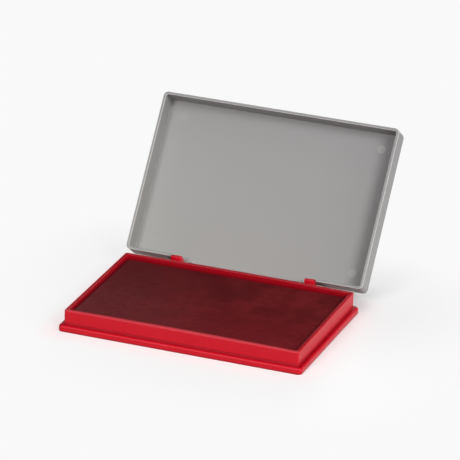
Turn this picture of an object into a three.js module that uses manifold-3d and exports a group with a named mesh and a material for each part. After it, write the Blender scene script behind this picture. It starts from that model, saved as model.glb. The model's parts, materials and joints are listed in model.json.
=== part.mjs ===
// Stamp pad: a shallow tray that holds an inked pad, with a box lid on two pin hinges.
// Millimetres, +Z up, +Y towards the hinges. The origin is the middle of the tray's underside.
// The lid is drawn open, leaning back on its stops.

import * as THREE from 'three';
import { mergeVertices } from 'three/addons/utils/BufferGeometryUtils.js';
import Module from 'manifold-3d';

const wasm = await Module();
wasm.setup();

// The pad and its layers, from the tray's floor up
const PAD_LENGTH = 110.6;
const PAD_WIDTH = 70.6;
const PAD_CORNER = 2;
const ADHESIVE_THICKNESS = 0.2;
const BOARD_THICKNESS = 1;
const FOAM_THICKNESS = 1.8;
const FELT_THICKNESS = 2.8;
const CLOTH_THICKNESS = 0.5;
const CLOTH_EASE = 0.1;
const PAD_CROWN = 0.3;
const PAD_EDGE_RADIUS = 0.7;
const PAD_TUCK = 0.5;
const PAD_SIDE_GAP = 0.1;

// The tray
const FLOOR_THICKNESS = 1.8;
const TRAY_WALL = 1.8;
const TRAY_HEIGHT = 10.1;
const TRAY_CORNER = 0.8;
const RIM_ROUND = 0.3;
const FLANGE_REACH = 2.2;
const FLANGE_HEIGHT = 3.3;
const FLANGE_CORNER = 2;
const FLANGE_EDGE_RADIUS = 1.2;
const FLANGE_FOOT_RADIUS = 0.5;

// The lid, which closes over the tray's walls and lands on its flange
const LID_HEADROOM = 3;
const LID_WALL = 1.3;
const LID_PLATE = 1.5;
const LID_CORNER = 2.2;
const LID_EDGE_RADIUS = 2;
const LID_INNER_RADIUS = 0.5;
const LID_SEAT_GAP = 0.3;
const LID_SWING_GAP = 0.3;

// The hinges: the axis lies behind the lid's rear face and above its rim when the lid is closed
const HINGE_BEHIND_LID = 3;
const HINGE_ABOVE_RIM = 2.95;
const LID_OPEN_DEGREES = 125.7;
const HINGE_SPAN = 67;
const LUG_WIDTH = 5;
const LUG_FRONT_GAP = 1.7;
const LUG_SWING_GAP = 0.25;
const LUG_TOP_DEPTH = 2;
const LUG_ROOT = 0.8;
const STOP_GAP = 0.3;
const STOP_FACE = 1.6;
const STOP_LEAD = 0.35;
const NOTCH_ABOVE_AXIS = 3.9;
const NOTCH_SIDE_GAP = 0.9;
const ARM_RADIUS = 1.9;
const ARM_ROOT = 0.5;
const ARM_BACK_TURN = 0.5;
const INNER_ARM_WIDTH = 1.8;
const OUTER_ARM_WIDTH = 3;
const HINGE_SIDE_GAP = 0.4;
const PIN_RADIUS = 0.9;
const PIN_CLEARANCE = 0.1;
const PIN_END_GAP = 0.3;
const PIN_HOLE_END = 0.7;

// How finely round stretches are drawn, and how far a cut runs past what it cuts
const CORNER_STEPS = 4;
const EDGE_STEPS = 3;
const CROWN_STEPS = 4;
const ARM_STEPS = 12;
const PIN_SIDES = 20;
const CUT_MARGIN = 1;

// Places that follow from the sizes above
const QUARTER_TURN = Math.PI / 2;
const SIDES = [['left', -1], ['right', 1]];
const SIDE_VIEW = new THREE.Matrix4().makeBasis(
  new THREE.Vector3(0, 1, 0),
  new THREE.Vector3(0, 0, 1),
  new THREE.Vector3(1, 0, 0),
);
const TRAY_LENGTH = PAD_LENGTH + 2 * (PAD_SIDE_GAP + TRAY_WALL);
const TRAY_WIDTH = PAD_WIDTH + 2 * (PAD_SIDE_GAP + TRAY_WALL);
const OUTER_LENGTH = TRAY_LENGTH + 2 * FLANGE_REACH;
const OUTER_WIDTH = TRAY_WIDTH + 2 * FLANGE_REACH;
const OUTER_BACK = OUTER_WIDTH / 2;
const BOARD_Z = FLOOR_THICKNESS + ADHESIVE_THICKNESS;
const FOAM_Z = BOARD_Z + BOARD_THICKNESS;
const FELT_Z = FOAM_Z + FOAM_THICKNESS;
const CLOTH_UNDER_Z = FELT_Z + FELT_THICKNESS + CLOTH_EASE;
const CLOTH_TOP_Z = CLOTH_UNDER_Z + CLOTH_THICKNESS;
const STACK_INSET = PAD_TUCK + CLOTH_THICKNESS + CLOTH_EASE;
const LID_RIM_Z = FLANGE_HEIGHT + LID_SEAT_GAP;
const LID_TOP_Z = TRAY_HEIGHT + LID_HEADROOM + LID_PLATE;
const AXIS_Y = OUTER_BACK + HINGE_BEHIND_LID;
const AXIS_Z = LID_RIM_Z + HINGE_ABOVE_RIM;
const NOTCH_TOP_Z = AXIS_Z + NOTCH_ABOVE_AXIS;
const OPEN_ANGLE = THREE.MathUtils.degToRad(LID_OPEN_DEGREES);
const LUG_INNER_X = (HINGE_SPAN - LUG_WIDTH) / 2;
const LUG_OUTER_X = (HINGE_SPAN + LUG_WIDTH) / 2;
const INNER_ARM_END_X = LUG_INNER_X - HINGE_SIDE_GAP;
const INNER_ARM_START_X = INNER_ARM_END_X - INNER_ARM_WIDTH;
const OUTER_ARM_START_X = LUG_OUTER_X + HINGE_SIDE_GAP;
const OUTER_ARM_END_X = OUTER_ARM_START_X + OUTER_ARM_WIDTH;
const NOTCH_HALF_LENGTH = LUG_OUTER_X + NOTCH_SIDE_GAP;
const PIN_HOLE_RADIUS = PIN_RADIUS + PIN_CLEARANCE;

const RED_PLASTIC = { color: 0xcb1f30, roughness: 0.35, metalness: 0 };
const GREY_PLASTIC = { color: 0xa39e9a, roughness: 0.5, metalness: 0 };
const PIN_STEEL = { color: 0x9a9a9a, roughness: 0.3, metalness: 1 };
const INKED_CLOTH = { color: 0x5a1c1e, roughness: 0.9, metalness: 0 };
const INKED_FELT = { color: 0x4d1517, roughness: 0.95, metalness: 0 };
const INKED_FOAM = { color: 0x471315, roughness: 0.95, metalness: 0 };
const BOARD_GREY = { color: 0x8c8a86, roughness: 0.8, metalness: 0 };
const ADHESIVE_CLEAR = { color: 0xd9d2b8, roughness: 0.6, metalness: 0 };

// The points of one level rounded rectangle, anticlockwise seen from above.
function roundedRing(length, width, corner, z) {
  const points = [];
  const centreX = length / 2 - corner;
  const centreY = width / 2 - corner;
  const signs = [[1, 1], [-1, 1], [-1, -1], [1, -1]];
  signs.forEach(([signX, signY], quarter) => {
    for (let step = 0; step <= CORNER_STEPS; step += 1) {
      const angle = (quarter + step / CORNER_STEPS) * QUARTER_TURN;
      const x = signX * centreX + corner * Math.cos(angle);
      const y = signY * centreY + corner * Math.sin(angle);
      points.push([x, y, z]);
    }
  });
  return points;
}

// A quarter round of a profile, as [inset, z] points about its centre, between two angles in quarter turns.
function quarterRound(inset, z, radius, from, to) {
  const points = [];
  for (let step = 0; step <= EDGE_STEPS; step += 1) {
    const angle = (from + ((to - from) * step) / EDGE_STEPS) * QUARTER_TURN;
    points.push([inset - radius * Math.cos(angle), z + radius * Math.sin(angle)]);
  }
  return points;
}

// A closed body of rounded-rectangle rings. Each profile point is [inset, z], drawn in from the outline,
// whose corner gets tighter with the inset, down to its least corner.
// The body is closed by fans to the middle at startZ, where it faces up, and at endZ, where it faces down.
function ringedGeometry(outline, profile, startZ, endZ) {
  const rings = profile.map(([inset, z]) => {
    const corner = Math.max(outline.corner - inset, outline.leastCorner);
    return roundedRing(outline.length - 2 * inset, outline.width - 2 * inset, corner, z);
  });
  const count = rings[0].length;
  const points = [[0, 0, startZ], ...rings.flat(), [0, 0, endZ]];
  const last = points.length - 1;
  const at = (ring, step) => 1 + ring * count + (step % count);
  const faces = [];
  for (let step = 0; step < count; step += 1) {
    faces.push(0, at(0, step), at(0, step + 1));
    for (let ring = 0; ring < rings.length - 1; ring += 1) {
      faces.push(at(ring, step), at(ring + 1, step), at(ring + 1, step + 1));
      faces.push(at(ring, step), at(ring + 1, step + 1), at(ring, step + 1));
    }
    faces.push(last, at(rings.length - 1, step + 1), at(rings.length - 1, step));
  }
  const geometry = new THREE.BufferGeometry();
  geometry.setAttribute('position', new THREE.Float32BufferAttribute(points.flat(), 3));
  geometry.setIndex(faces);
  geometry.computeVertexNormals();
  return geometry;
}

function solidOf(geometry) {
  geometry.deleteAttribute('normal');
  geometry.deleteAttribute('uv');
  const merged = mergeVertices(geometry);
  const vertProperties = new Float32Array(merged.attributes.position.array);
  const triVerts = new Uint32Array(merged.index.array);
  return new wasm.Manifold(new wasm.Mesh({ numProp: 3, vertProperties, triVerts }));
}

function geometryOf(solid) {
  const { vertProperties, triVerts } = solid.getMesh();
  const geometry = new THREE.BufferGeometry();
  geometry.setAttribute('position', new THREE.Float32BufferAttribute(vertProperties, 3));
  geometry.setIndex(Array.from(triVerts));
  geometry.computeVertexNormals();
  return geometry;
}

// A prism along X between two places, with its outline given as [y, z] points, anticlockwise seen from +X.
function prismAlongX(outline, startX, endX) {
  const shape = new THREE.Shape(outline.map(([y, z]) => new THREE.Vector2(y, z)));
  const depth = Math.abs(endX - startX);
  const geometry = new THREE.ExtrudeGeometry(shape, { depth, bevelEnabled: false });
  geometry.applyMatrix4(SIDE_VIEW);
  geometry.translate(Math.min(startX, endX), 0, 0);
  return solidOf(geometry);
}

// A rod on the hinge axis between two places along X.
function rodOnAxis(radius, startX, endX) {
  const geometry = new THREE.CylinderGeometry(radius, radius, Math.abs(endX - startX), PIN_SIDES);
  geometry.rotateZ(QUARTER_TURN);
  geometry.translate((startX + endX) / 2, AXIS_Y, AXIS_Z);
  return geometry;
}

function pinHole(side) {
  return solidOf(rodOnAxis(
    PIN_HOLE_RADIUS,
    side * (INNER_ARM_START_X - CUT_MARGIN),
    side * (OUTER_ARM_END_X - PIN_HOLE_END),
  ));
}

// The tray, from the middle of its floor over the rim to its underside
function trayShell() {
  const innerInset = FLANGE_REACH + TRAY_WALL;
  const profile = [
    [innerInset, FLOOR_THICKNESS],
    ...quarterRound(innerInset - RIM_ROUND, TRAY_HEIGHT - RIM_ROUND, RIM_ROUND, 2, 1),
    ...quarterRound(FLANGE_REACH + RIM_ROUND, TRAY_HEIGHT - RIM_ROUND, RIM_ROUND, 1, 0),
    [FLANGE_REACH, FLANGE_HEIGHT],
    ...quarterRound(FLANGE_EDGE_RADIUS, FLANGE_HEIGHT - FLANGE_EDGE_RADIUS, FLANGE_EDGE_RADIUS, 1, 0),
    ...quarterRound(FLANGE_FOOT_RADIUS, FLANGE_FOOT_RADIUS, FLANGE_FOOT_RADIUS, 0, -1),
  ];
  const outline = {
    length: OUTER_LENGTH, width: OUTER_WIDTH, corner: FLANGE_CORNER, leastCorner: TRAY_CORNER,
  };
  return solidOf(ringedGeometry(outline, profile, FLOOR_THICKNESS, 0));
}

// The side view of a hinge lug: a gusset with a flat front, and a heel that the open lid lands on.
function lugOutline() {
  const front = OUTER_BACK + LUG_FRONT_GAP;
  const clearRadius = Math.hypot(HINGE_BEHIND_LID, NOTCH_ABOVE_AXIS) - LUG_SWING_GAP;
  const top = AXIS_Z + Math.sqrt(clearRadius ** 2 - (HINGE_BEHIND_LID - LUG_FRONT_GAP) ** 2);
  const awayY = -Math.cos(OPEN_ANGLE);
  const awayZ = Math.sin(OPEN_ANGLE);
  const onStop = (along) => [
    AXIS_Y + awayY * (HINGE_BEHIND_LID - STOP_GAP) + awayZ * along,
    AXIS_Z + awayZ * (HINGE_BEHIND_LID - STOP_GAP) - awayY * along,
  ];
  const heelTop = onStop(NOTCH_ABOVE_AXIS - STOP_LEAD);
  const heelEnd = onStop(NOTCH_ABOVE_AXIS - STOP_LEAD + STOP_FACE);
  return [
    [OUTER_BACK - LUG_ROOT - FLANGE_EDGE_RADIUS, 0],
    [heelEnd[0], 0],
    heelEnd,
    heelTop,
    [front + LUG_TOP_DEPTH, top],
    [front, top],
    [front, FLANGE_HEIGHT],
    [OUTER_BACK - LUG_ROOT - FLANGE_EDGE_RADIUS, FLANGE_HEIGHT],
  ];
}

function baseTray() {
  let tray = trayShell();
  for (const [, side] of SIDES) {
    tray = tray.add(prismAlongX(lugOutline(), side * LUG_INNER_X, side * LUG_OUTER_X));
    tray = tray.subtract(pinHole(side));
  }
  return geometryOf(tray);
}

// The lid as it lies closed, from the middle of its top over the rim to the underside of its plate
function lidBox() {
  const underPlate = LID_TOP_Z - LID_PLATE;
  const profile = [
    ...quarterRound(LID_EDGE_RADIUS, LID_TOP_Z - LID_EDGE_RADIUS, LID_EDGE_RADIUS, 1, 0),
    [0, LID_RIM_Z],
    [LID_WALL, LID_RIM_Z],
    ...quarterRound(LID_WALL + LID_INNER_RADIUS, underPlate - LID_INNER_RADIUS, LID_INNER_RADIUS, 0, 1),
  ];
  const outline = {
    length: OUTER_LENGTH, width: OUTER_WIDTH, corner: LID_CORNER, leastCorner: LID_INNER_RADIUS,
  };
  return solidOf(ringedGeometry(outline, profile, LID_TOP_Z, underPlate));
}

// The part of the lid's rear wall that is left out between the hinges
function rearNotch() {
  const outline = [
    [OUTER_BACK - LID_WALL - CUT_MARGIN, LID_RIM_Z - CUT_MARGIN],
    [OUTER_BACK + CUT_MARGIN, LID_RIM_Z - CUT_MARGIN],
    [OUTER_BACK + CUT_MARGIN, NOTCH_TOP_Z],
    [OUTER_BACK - LID_WALL - CUT_MARGIN, NOTCH_TOP_Z],
  ];
  return prismAlongX(outline, -NOTCH_HALF_LENGTH, NOTCH_HALF_LENGTH);
}

// Points of a round stretch about the hinge axis, as [y, z], between two angles in quarter turns.
function roundAxis(radius, from, to) {
  const points = [];
  for (let step = 0; step <= ARM_STEPS; step += 1) {
    const angle = (from + ((to - from) * step) / ARM_STEPS) * QUARTER_TURN;
    points.push([AXIS_Y + radius * Math.cos(angle), AXIS_Z + radius * Math.sin(angle)]);
  }
  return points;
}

// The round relief along the inside of the rear rim, which lets it swing past the tray's rear wall
function rearRimRelief() {
  const radius = AXIS_Y - TRAY_WIDTH / 2 - LID_SWING_GAP;
  const beyond = radius + CUT_MARGIN;
  const outline = [...roundAxis(radius, 2, 3), [AXIS_Y, AXIS_Z - beyond], [AXIS_Y - beyond, AXIS_Z - beyond]];
  const halfLength = OUTER_LENGTH / 2 - LID_CORNER;
  return prismAlongX(outline, -halfLength, halfLength);
}

// A hinge arm beside a lug, hanging from the deep end of the rear wall and round about the axis
function hingeArm(startX, endX) {
  const rootTop = LID_TOP_Z - LID_EDGE_RADIUS;
  const outline = [
    ...roundAxis(ARM_RADIUS, -2, ARM_BACK_TURN),
    [OUTER_BACK, rootTop],
    [OUTER_BACK - ARM_ROOT, rootTop],
  ];
  return prismAlongX(outline, startX, endX);
}

function lidShell() {
  let lid = lidBox().subtract(rearNotch()).subtract(rearRimRelief());
  for (const [, side] of SIDES) {
    const innerArm = hingeArm(side * INNER_ARM_START_X, side * INNER_ARM_END_X);
    const outerArm = hingeArm(side * OUTER_ARM_START_X, side * OUTER_ARM_END_X);
    lid = lid.add(innerArm).add(outerArm).subtract(pinHole(side));
  }
  const geometry = geometryOf(lid);
  geometry.translate(0, -AXIS_Y, -AXIS_Z);
  return geometry;
}

function hingePin(side) {
  const end = OUTER_ARM_END_X - PIN_HOLE_END - PIN_END_GAP;
  return rodOnAxis(PIN_RADIUS, side * INNER_ARM_START_X, side * end);
}

// The crowned top of the pad, as [inset, z] points from near the middle out to the round edge.
function crownProfile(edgeInset, edgeZ) {
  const points = [];
  for (let step = CROWN_STEPS; step > 0; step -= 1) {
    const share = (step / (CROWN_STEPS + 1)) ** 2;
    const inset = edgeInset + (PAD_WIDTH / 2 - edgeInset) * share;
    points.push([inset, edgeZ + PAD_CROWN * (1 - (1 - share) ** 2)]);
  }
  return points;
}

const PAD_OUTLINE = {
  length: PAD_LENGTH, width: PAD_WIDTH, corner: PAD_CORNER, leastCorner: PAD_EDGE_RADIUS,
};

// The cloth over the pad: a crowned top, round edges and sides drawn in at the foot
function padCloth() {
  const innerRadius = PAD_EDGE_RADIUS - CLOTH_THICKNESS;
  const shoulderZ = CLOTH_TOP_Z - PAD_EDGE_RADIUS;
  const profile = [
    ...crownProfile(PAD_EDGE_RADIUS, CLOTH_TOP_Z),
    ...quarterRound(PAD_EDGE_RADIUS, shoulderZ, PAD_EDGE_RADIUS, 1, 0),
    [PAD_TUCK, BOARD_Z],
    [PAD_TUCK + CLOTH_THICKNESS, BOARD_Z],
    ...quarterRound(PAD_EDGE_RADIUS, shoulderZ, innerRadius, 0, 1),
    ...crownProfile(PAD_EDGE_RADIUS, CLOTH_UNDER_Z).reverse(),
  ];
  return ringedGeometry(PAD_OUTLINE, profile, CLOTH_TOP_Z + PAD_CROWN, CLOTH_UNDER_Z + PAD_CROWN);
}

// The felt under the cloth, with the same crown
function inkFelt() {
  const topZ = CLOTH_UNDER_Z - CLOTH_EASE;
  const radius = PAD_EDGE_RADIUS - CLOTH_THICKNESS;
  const profile = [
    ...crownProfile(STACK_INSET + radius, topZ),
    ...quarterRound(STACK_INSET + radius, topZ - radius, radius, 1, 0),
    [STACK_INSET, FELT_Z],
  ];
  return ringedGeometry(PAD_OUTLINE, profile, topZ + PAD_CROWN, FELT_Z);
}

// A flat layer of the pad's stack
function flatLayer(inset, bottomZ, thickness) {
  const profile = [[inset, bottomZ + thickness], [inset, bottomZ]];
  return ringedGeometry(PAD_OUTLINE, profile, bottomZ + thickness, bottomZ);
}

function piece(name, geometry, look) {
  const mesh = new THREE.Mesh(geometry, new THREE.MeshStandardMaterial(look));
  mesh.name = name;
  return mesh;
}

function padStack() {
  const stack = new THREE.Group();
  stack.add(
    piece('pad_adhesive', flatLayer(PAD_TUCK, FLOOR_THICKNESS, ADHESIVE_THICKNESS), ADHESIVE_CLEAR),
    piece('pad_backing_board', flatLayer(STACK_INSET, BOARD_Z, BOARD_THICKNESS), BOARD_GREY),
    piece('reservoir_foam', flatLayer(STACK_INSET, FOAM_Z, FOAM_THICKNESS), INKED_FOAM),
    piece('ink_felt', inkFelt(), INKED_FELT),
    piece('pad_cloth', padCloth(), INKED_CLOTH),
  );
  return stack;
}

function openLid() {
  const lid = new THREE.Group();
  lid.position.set(0, AXIS_Y, AXIS_Z);
  lid.rotation.x = -OPEN_ANGLE;
  lid.add(piece('lid_shell', lidShell(), GREY_PLASTIC));
  return lid;
}

const stampPad = new THREE.Group();
stampPad.add(piece('base_tray', baseTray(), RED_PLASTIC), padStack(), openLid());
for (const [name, side] of SIDES) {
  stampPad.add(piece(`${name}_hinge_pin`, hingePin(side), PIN_STEEL));
}

export default stampPad;
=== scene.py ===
"""A stamp pad: a red moulded tray with an inked cloth pad, under a grey hinged box lid that leans open."""
import json
import math

import bmesh
import bpy
from mathutils import Matrix, Vector, noise


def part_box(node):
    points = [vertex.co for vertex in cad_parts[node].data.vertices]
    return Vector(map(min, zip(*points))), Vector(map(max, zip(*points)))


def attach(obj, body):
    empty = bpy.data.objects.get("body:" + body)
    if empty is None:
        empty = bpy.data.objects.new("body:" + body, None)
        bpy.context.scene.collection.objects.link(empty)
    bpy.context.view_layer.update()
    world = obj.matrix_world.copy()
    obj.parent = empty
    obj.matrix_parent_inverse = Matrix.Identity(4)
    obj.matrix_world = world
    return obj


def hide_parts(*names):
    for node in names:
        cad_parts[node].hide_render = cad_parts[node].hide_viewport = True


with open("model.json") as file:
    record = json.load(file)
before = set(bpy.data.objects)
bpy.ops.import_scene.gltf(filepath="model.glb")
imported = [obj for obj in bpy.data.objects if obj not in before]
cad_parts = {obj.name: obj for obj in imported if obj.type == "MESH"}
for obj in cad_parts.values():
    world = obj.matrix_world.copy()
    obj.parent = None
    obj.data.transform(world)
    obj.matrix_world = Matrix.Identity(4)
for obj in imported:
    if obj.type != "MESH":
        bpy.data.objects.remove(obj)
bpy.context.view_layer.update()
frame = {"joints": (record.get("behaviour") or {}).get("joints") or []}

MM = 0.001
QUARTER_TURN = math.pi / 2

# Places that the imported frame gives
TRAY_LOW, TRAY_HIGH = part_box("base_tray")
PAD_LOW, PAD_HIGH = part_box("pad_cloth")
FELT_LOW, FELT_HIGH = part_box("ink_felt")
FOAM_LOW, FOAM_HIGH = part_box("reservoir_foam")
BOARD_LOW, BOARD_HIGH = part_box("pad_backing_board")
GLUE_LOW, GLUE_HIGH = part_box("pad_adhesive")
HINGE = frame["joints"][0]
AXIS_Y, AXIS_Z = HINGE["pos_m"][1:]
OPEN_ANGLE = math.radians(HINGE["range_deg"][1])
HALF_LENGTH = TRAY_HIGH.x
HALF_WIDTH = -TRAY_LOW.y
OUTER_BACK = HALF_WIDTH

# Tray
FLOOR_THICKNESS = 1.8 * MM
TRAY_WALL = 1.8 * MM
TRAY_HEIGHT = 10.1 * MM
TRAY_CORNER = 0.8 * MM
RIM_ROUND = 0.3 * MM
FLOOR_FILLET = 0.5 * MM
FLANGE_REACH = 2.2 * MM
FLANGE_HEIGHT = 3.3 * MM
FLANGE_CORNER = 2 * MM
FLANGE_EDGE_RADIUS = 1.2 * MM
FLANGE_FOOT_RADIUS = 0.5 * MM
WALL_FOOT_FILLET = 0.3 * MM
WALL_BOW = 0.4 * MM
REAR_RISE = 0.55 * MM

# Lid, as it lies closed
LID_HEADROOM = 3 * MM
LID_WALL = 1.3 * MM
LID_PLATE = 1.5 * MM
LID_CORNER = 2.2 * MM
LID_EDGE_RADIUS = 2 * MM
LID_INNER_RADIUS = 0.25 * MM
LID_RIM_ROUND = 0.2 * MM
LID_SEAT_GAP = 0.3 * MM
LID_SWING_GAP = 0.3 * MM
LID_RIM_Z = FLANGE_HEIGHT + LID_SEAT_GAP
LID_TOP_Z = TRAY_HEIGHT + LID_HEADROOM + LID_PLATE
UNDER_PLATE_Z = LID_TOP_Z - LID_PLATE

# Hinges
HINGE_SPAN = 67 * MM
LUG_WIDTH = 5 * MM
LUG_FRONT_GAP = 1.7 * MM
LUG_SWING_GAP = 0.25 * MM
LUG_TOP_DEPTH = 2 * MM
LUG_ROOT = 0.8 * MM
LUG_EDGE_ROUND = 0.25 * MM
LUG_TOP_ROUND = 0.4 * MM
STOP_GAP = 0.3 * MM
STOP_FACE = 1.6 * MM
STOP_LEAD = 0.35 * MM
NOTCH_ABOVE_AXIS = 3.9 * MM
NOTCH_SIDE_GAP = 0.9 * MM
NOTCH_CORNER = 0.6 * MM
MIDDLE_NOTCH_SIDE_GAP = 0.9 * MM
MIDDLE_NOTCH_LIP = 1.6 * MM
ARM_RADIUS = 1.9 * MM
ARM_ROOT = 0.5 * MM
ARM_BACK_TURN = 0.5
ARM_EDGE_ROUND = 0.2 * MM
INNER_ARM_WIDTH = 1.8 * MM
OUTER_ARM_WIDTH = 3 * MM
HINGE_SIDE_GAP = 0.4 * MM
PIN_RADIUS = 0.9 * MM
PIN_CLEARANCE = 0.1 * MM
PIN_END_GAP = 0.3 * MM
PIN_HOLE_END = 0.7 * MM
PIN_CHAMFER = 0.2 * MM
PIN_LINE_STRETCH = (0.02, 1, 1)
HINGE_BEHIND_LID = AXIS_Y - OUTER_BACK
NOTCH_TOP_Z = AXIS_Z + NOTCH_ABOVE_AXIS
LUG_INNER_X = (HINGE_SPAN - LUG_WIDTH) / 2
LUG_OUTER_X = (HINGE_SPAN + LUG_WIDTH) / 2
INNER_ARM_END_X = LUG_INNER_X - HINGE_SIDE_GAP
INNER_ARM_START_X = INNER_ARM_END_X - INNER_ARM_WIDTH
OUTER_ARM_START_X = LUG_OUTER_X + HINGE_SIDE_GAP
OUTER_ARM_END_X = OUTER_ARM_START_X + OUTER_ARM_WIDTH
PIN_END_X = OUTER_ARM_END_X - PIN_HOLE_END - PIN_END_GAP

# Marks that the mould's ejector pins leave
LID_MARK_SPAN_X = 100 * MM
LID_MARK_SPAN_Y = 61 * MM
LID_MARK_RADIUS = 2 * MM
LID_MARK_HEIGHT = 0.02 * MM
# Painted sheen on the tops of the lid's marks, less on the left than on the right
LEFT_MARK_SHEEN = 0.05
RIGHT_MARK_SHEEN = 0.2
TRAY_MARK_SPAN_X = 96 * MM
TRAY_MARK_SPAN_Y = 56 * MM
TRAY_MARK_RADIUS = 2 * MM
TRAY_MARK_DEPTH = 0.12 * MM

# Pad
PAD_CORNER = 2 * MM
PAD_EDGE_RADIUS = 0.7 * MM
PAD_CROWN = 0.3 * MM
PAD_TUCK = 0.5 * MM
PAD_DRAWN_IN = 0.25 * MM
CLOTH_THICKNESS = 0.5 * MM
CLOTH_CROWN_SHARE = 0.85
CLOTH_WAVE = 0.05 * MM
CLOTH_WAVE_MOST = 0.4
CLOTH_WAVE_LENGTH = 9 * MM
THREAD_PITCH = 0.42  # in millimetres, as the thread map is
FELT_EDGE_RADIUS = 0.3 * MM
FELT_CROWN_SHARE = 0.8
FOAM_EDGE_RADIUS = 0.35 * MM
FOAM_DRAWN_IN = 0.3 * MM
BOARD_EDGE_RADIUS = 0.15 * MM
GLUE_EDGE_RADIUS = 0.4 * (GLUE_HIGH.z - GLUE_LOW.z)
LAYER_CORNER = 1.4 * MM
LAYER_LEAST_CORNER = 0.5 * MM
LAYER_WAVE = 0.06 * MM
LAYER_WAVE_LENGTH = 3 * MM
BOARD_WAVE = 0.015 * MM
BUBBLE_SPACING = 1.6 * MM

# Ink on the tray and painted shade at its wall's and flange's feet, over these ranges; an edge range is
# measured from the flange's outer edge
INK_ON_RIM = 1.7 * MM
INK_FRONT_STOP = 0.1 * MM
INK_SHARE = 0.75
INK_FADE_TO_RIM = 0.4
INK_FADE_BY_FLOW = 0.05
CORNER_SHADE_SHARE = 0.42
CORNER_SHADE_INNER_EDGE = (-FLANGE_REACH - 0.4 * MM, -FLANGE_REACH - 0.1 * MM)
CORNER_SHADE_OUTER_EDGE = (-1.3 * MM, -0.5 * MM)
CORNER_SHADE_TOP = (FLANGE_HEIGHT + 0.2 * MM, FLANGE_HEIGHT + 1.2 * MM)
FOOT_SHADE_SHARE = 0.5
FOOT_SHADE_EDGE = (-1.0 * MM, -0.4 * MM)
FOOT_SHADE_TOP = (0.2 * MM, 1.1 * MM)

# Where shade is painted into the lid's grey
LID_GREY_SHADE_RAMP = (-20 * MM, 95 * MM)
LID_GREY_SHADE_TO_RIGHT = 0.35
LID_GREY_SHADE_FLOW = 10 * MM
LID_TOP_SHADOW_SHARE = 0.3
LID_TOP_SHADOW = (46 * MM, 72 * MM)
LID_INNER_WALL_SHADE_SHARE = 0.5
LID_INNER_WALL_SHADE = (-0.9 * HALF_LENGTH, -0.5 * HALF_LENGTH)
LID_WALL_SHADOW_SHARE = 0.24
LID_INNER_X = HALF_LENGTH - LID_WALL
LID_WALL_SHADOW_START = (LID_INNER_X - 12 * MM, LID_INNER_X - 1 * MM)
LID_WALL_SHADOW_END = (LID_INNER_X - 0.2 * MM, LID_INNER_X)

# Where the pad's colour changes
INK_FRESH_SHARE = 0.6
INK_FRESH_TO_BACK = (-1.0 * PAD_HIGH.y, 0.4 * PAD_HIGH.y)
PAD_GREYER_SHARE = 0.75
PAD_GREYER_TO_RIGHT = (-0.95 * PAD_HIGH.x, 0.25 * PAD_HIGH.x)
PAD_GREYER_LEAN = 0.45
INK_DEEP_SHARE = 0.55
INK_DEEP_TO_BACK = (-0.4 * PAD_HIGH.y, 0.9 * PAD_HIGH.y)
INK_DEEP_TO_RIGHT = (-0.1 * PAD_HIGH.x, 0.5 * PAD_HIGH.x)
INK_LIVELY_SHARE = 0.3
INK_LIVELY_LESS_AT_BACK = 0.7
INK_LIVELY_TO_RIGHT = (0, 0.7 * PAD_HIGH.x)

# How finely round stretches are drawn
CORNER_STEPS = 8
EDGE_STEPS = 6
FILLET_STEPS = 5
ROUND_SEGMENTS = 3
SIDE_PARTS = 6
CLOTH_SIDE_PARTS = 40
CLOTH_SIDE_STEPS = 4
CLOTH_RINGS = 16
CLOTH_RING_SPREAD = 1.4
CLOTH_LEAST_HALF = 2 * MM
SLAB_EDGE_STEPS = 4
SLAB_RUNS = (14 * MM, 6 * MM, 1 * MM)
FLAT_RUN = 2 * MM
ARM_STEPS = 24
PIN_SIDES = 40
HOLD = 0.2 * MM
HOLD_MOST_SHARE = 0.3
LONG_STRETCH = 4 * HOLD
CUT_MARGIN = 1 * MM
SHARP_ANGLE = math.radians(32)
EDGE_ANGLE = math.radians(8)
WORN_ANGLE = math.radians(15)
WELD = 0.0005 * MM
BROAD_FACE = 6 * MM ** 2
TIGHT_STEP = 0.15 * MM

# Camera, fitted to the photograph's edges
SENSOR = 36
LENS = 326.32
CAMERA_AZIMUTH = math.radians(20.376)
CAMERA_ELEVATION = math.radians(22.282)
CAMERA_ROLL = math.radians(1.785)
CAMERA_DISTANCE = 1937.25 * MM
CAMERA_TARGET = Vector((-2.175, 29.186, 34.562)) * MM
CAMERA_FAR = 100


# Colours

def shade(red, green, blue):
    """A colour as seen on screen, 0 to 255, as the linear colour that a socket takes."""
    values = []
    for level in (red, green, blue):
        share = level / 255
        low = share / 12.92
        high = ((share + 0.055) / 1.055) ** 2.4
        values.append(low if share <= 0.04045 else high)
    return (*values, 1)


TRAY_RED = shade(213, 11, 37)
TRAY_DEEP_RED = shade(205, 8, 32)
# Paler edges: wear and a painted highlight
TRAY_PALE_EDGE = shade(226, 70, 82)
# Painted highlight on the front rim's top
TRAY_RIM_HIGHLIGHT = shade(232, 100, 110)
# Painted shade at the wall's foot and the flange's foot
TRAY_PAINTED_SHADE = shade(70, 0, 6)
DRIED_INK = shade(58, 4, 10)
LID_GREY = shade(169, 168, 165)
# Painted shade on the lid: to its far right and top, under its top wall, on its inner end walls and beside
# its right wall
LID_SHADED_GREY = shade(157, 155, 155)
LID_TOP_SHADOW_GREY = shade(140, 138, 138)
LID_INNER_WALL_SHADE_GREY = shade(138, 137, 135)
LID_WALL_SHADOW_GREY = shade(120, 118, 119)
# Paler edges: wear and a painted highlight
LID_PALE_EDGE = shade(220, 219, 217)
STEEL_BRIGHT = shade(176, 176, 174)
STEEL_DULL = shade(150, 149, 146)
CLOTH_MAROON = shade(120, 34, 38)
CLOTH_WET = shade(88, 19, 23)
CLOTH_FRESH = shade(128, 34, 41)
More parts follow.
